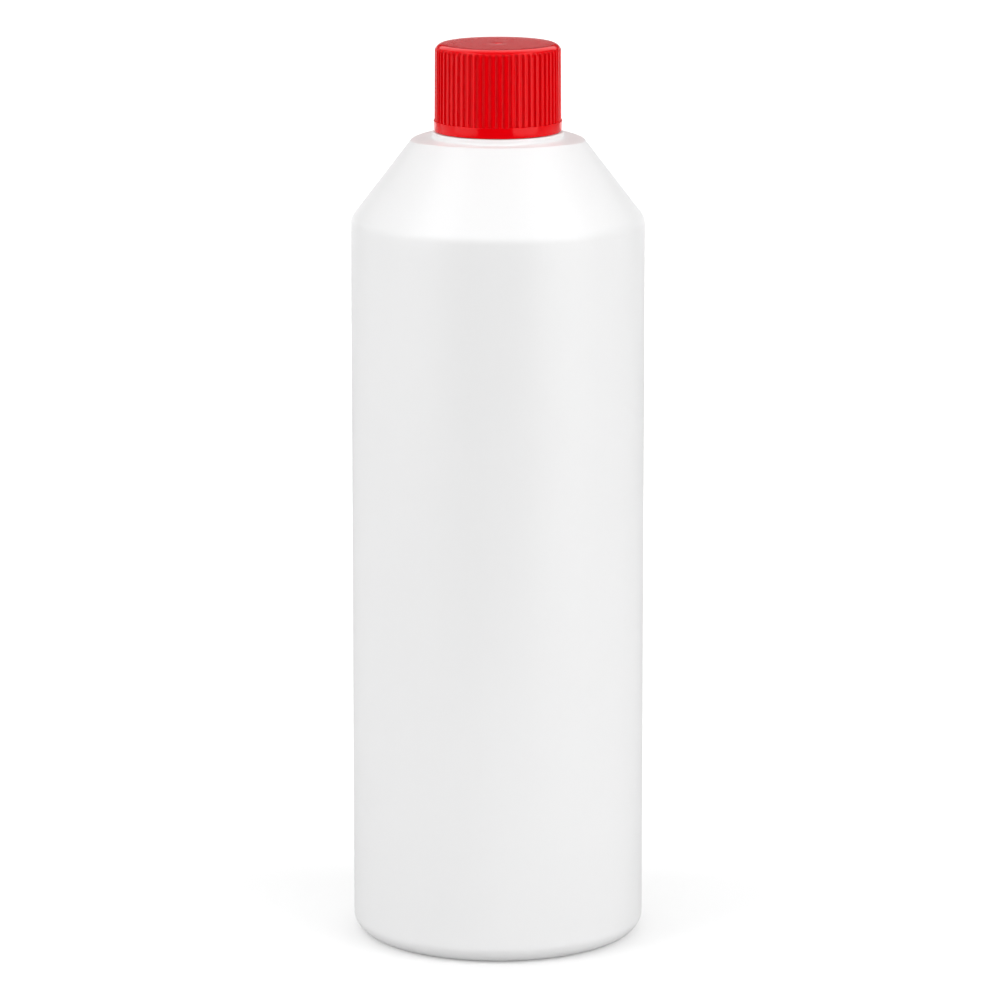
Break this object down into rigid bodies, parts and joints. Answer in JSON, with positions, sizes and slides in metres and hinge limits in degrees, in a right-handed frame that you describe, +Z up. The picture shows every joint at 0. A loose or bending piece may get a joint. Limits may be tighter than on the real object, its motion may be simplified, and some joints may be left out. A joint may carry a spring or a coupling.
{
  "type": "pharmacy bottle",
  "caption": "Round white plastic bottle with a conical shoulder and a narrow threaded neck, closed by a fluted red screw cap with a foam sealing liner.",
  "frame": {"origin": "centre of the ring that the bottle stands on, on the surface under it", "axes": "+Z up along the bottle's axis; X and Y are level, and the bottle is round about Z"},
  "size_m": [0.065, 0.065, 0.2005],
  "materials": {
    "bottle": "satin blow-moulded polyethylene",
    "cap": "glossy moulded polypropylene",
    "liner": "expanded polyethylene foam"
  },
  "bodies": {
    "bottle": {"bottle": "bottle"},
    "liner": {"liner": "liner"},
    "cap": {"cap": "cap"}
  },
  "joints": [
    {"name": "cap_lift", "type": "slide", "parent": "bottle", "child": "liner", "axis": [0, 0, 1], "range_m": [0, 0.01905]},
    {"name": "cap_turn", "type": "hinge", "parent": "liner", "child": "cap", "pos_m": [0, 0, 0.19], "axis": [0, 0, 1], "range_deg": [0, 2160]}
  ],
  "couplings": [
    {"joint": "cap_lift", "follows": "cap_turn", "m_per_rad": 0.00050532}
  ]
}
